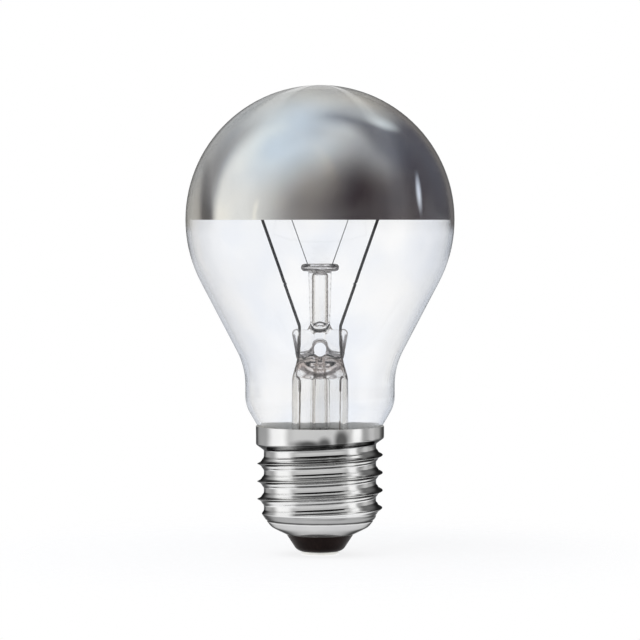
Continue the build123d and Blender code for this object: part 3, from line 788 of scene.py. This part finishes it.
# Each layer: mask, colour, and the share of the colour that covers what lies under it
studio = (
    # Dark right side, with a paler line at the outline
    (patch((0.86, 0.08), (0.4, 0.68), 18, 0.4), srgb(56, 50, 56), 1),
    (patch((0.68, 0.48), (0.36, 0.28), -42, 0.6), srgb(80, 80, 92), 1),
    (ring((0, 0), 0.985, 0.02, 0.02, (-10, 60), 15), srgb(140, 134, 130), 1),
    # Dark strip inside the left outline
    (ring((0, 0), 0.86, 0.05, 0.07, (120, 190), 30), srgb(128, 124, 121), 1),
    (patch((-0.845, 0), (0.045, 0.36), 0, 0.5), srgb(66, 63, 64), 1),
    # Broad light area, cool above and cream on the left, with a darker outer edge
    (patch((-0.12, 0.3), (0.64, 0.54), 24, 0.22), srgb(212, 217, 220), 1),
    (patch((-0.3, 0.02), (0.48, 0.68), 0, 0.06), srgb(242, 240, 232), 1),
    (patch((-0.26, 0.58), (0.34, 0.26), 24, 0.8), srgb(214, 230, 242), 0.85),
    (ring((0, 0), 0.86, 0.05, 0.07, (122, 168), 14), srgb(140, 136, 132), 0.65),
    # Dark crescent
    (ring((0.056, -0.054), 0.82, 0.045, 0.075, (22, 92), 14), srgb(88, 96, 112), 1),
    (patch((0.5, 0.54), (0.3, 0.1), -44, 0.7), srgb(84, 88, 100), 1),
    (patch((0.76, 0.3), (0.12, 0.34), 20, 0.8), srgb(64, 62, 72), 1),
    # Light crescent inside it
    (ring((0.006, 0.18), 0.47, 0.05, 0.13, (-5, 110), 30), srgb(186, 190, 194), 0.85),
    # Middle, shading down to the dark core
    (patch((0.12, 0), (0.5, 0.46), 0, 0.45), srgb(118, 113, 112), 0.85),
    (patch((0.2, 0), (0.36, 0.22), 0, 0.8), srgb(74, 70, 74), 0.8),
    (patch((0.62, 0.06), (0.24, 0.32), 0, 0.5), srgb(60, 54, 60), 0.9),
    (patch((0.31, 0.12), (0.19, 0.36), 0, 0.9), srgb(40, 28, 36), 1),
    (patch((0.32, 0.02), (0.09, 0.2), 0, 0.5), srgb(36, 24, 32), 0.9),
    # Pale lamps and their streaks
    (patch((0.455, 0.725), (0.1, 0.03), -24, 0.9), srgb(216, 226, 232), 1),
    (patch((0.34, 0.79), (0.2, 0.05), -14, 0.9), srgb(176, 182, 186), 0.7),
    (patch((0.735, 0.2), (0.014, 0.1), 6, 0.9), srgb(225, 232, 245), 1),
    (ring((-0.05, 0), 0.44, 0.014, 0.014, (162, 190), 6), srgb(255, 250, 236), 1),
    # Pale paper below, which the mirror can't see
    (sky.ramp(up, -0.12, -0.02, 1.0, 0.0), srgb(226, 229, 234), 1),
)
cap_studio = (
    # Left side, white column, and the front
    (strip(-0.9, 0.13, 0.05), srgb(165, 165, 165), 1),
    (strip(-0.65, 0.13, 0.07), srgb(255, 255, 255), 1),
    (strip(0, 0.44, 0.08), srgb(204, 204, 204), 1),
    (patch((0, 0.27), (0.45, 0.2), 0, 0.3), srgb(40, 40, 40), 1),
    # White column on the right, and the dark side with a paler oval in it
    (strip(0.575, 0.07, 0.04), srgb(255, 255, 255), 1),
    (strip(0.83, 0.15, 0.06), srgb(110, 110, 110), 1),
    (patch((0.82, -0.04), (0.14, 0.1), 0, 0.5), srgb(172, 172, 172), 1),
    (patch((0.8, -0.04), (0.04, 0.2), 0, 0.6), srgb(195, 195, 195), 1),
    # Dark outlines
    (strip(-0.995, 0.03, 0.02), srgb(85, 85, 85), 1),
    (strip(0.98, 0.04, 0.03), srgb(90, 90, 90), 1),
    # Grey paper below
    (sky.ramp(up, -0.36, -0.2, 1.0, 0.0), srgb(184, 186, 190), 1),
)

# The mirror lies under clear glass, the stem behind it and the cap before it, so the number of
# times that light passed through glass tells which painted surroundings it belongs to
light_path = sky.node("ShaderNodeLightPath")
passes = light_path.outputs["Transmission Depth"]
colour = sky.blend(
    sky.math("GREATER_THAN", passes, 0.5),
    painted(srgb(188, 188, 188), cap_studio),
    painted(srgb(188, 186, 180), studio),
)
colour = sky.blend(sky.math("GREATER_THAN", passes, 4.5), colour, srgb(230, 227, 221))
reflected = sky.math("GREATER_THAN", light_path.outputs["Glossy Depth"], 0.5)
seen = sky.node("ShaderNodeBackground")
sky.put(seen.inputs["Color"], sky.blend(reflected, WHITE, colour))
seen.inputs["Strength"].default_value = 1.0
lit = sky.node("ShaderNodeBackground")
lit.inputs["Color"].default_value = (0.95, 0.97, 1.0, 1)
lit.inputs["Strength"].default_value = 0.75
sky.put(
    output.inputs["Surface"],
    sky.mix_shader(sky.ray(*SEEING), lit.outputs[0], seen.outputs[0]),
)

# Lamp: one broad soft source above, kept out of the reflections that the world paints
LAMP_PLACE = (-0.25, -0.25, 0.6)
LAMP_AIM = Vector((0, 0, 0.03))
lamp_data = bpy.data.lights.new("key", "AREA")
lamp_data.size = 0.5
lamp_data.energy = 1.1
lamp = bpy.data.objects.new("key", lamp_data)
scene.collection.objects.link(lamp)
lamp.location = LAMP_PLACE
lamp.rotation_euler = (LAMP_AIM - lamp.location).to_track_quat("-Z", "Y").to_euler()
lamp.visible_camera = lamp.visible_glossy = lamp.visible_transmission = False

# Camera: level with the mirror's edge, tipped down so that the bulb stands in the middle
CAMERA_DISTANCE = 0.673
CAMERA_Z = 0.0686
AIM_Z = 0.0481
FRAME_WIDTH = 0.131
camera_data = bpy.data.cameras.new("camera")
camera = bpy.data.objects.new("camera", camera_data)
scene.collection.objects.link(camera)
scene.camera = camera
camera.location = (0, -CAMERA_DISTANCE, CAMERA_Z)
aim = Vector((0, 0, AIM_Z)) - camera.location
camera.rotation_euler = aim.to_track_quat("-Z", "Y").to_euler()
camera_data.sensor_width = 36
camera_data.lens = camera_data.sensor_width * aim.length / FRAME_WIDTH
camera_data.clip_start = 0.01
camera_data.clip_end = 10

scene.view_settings.view_transform = "Standard"
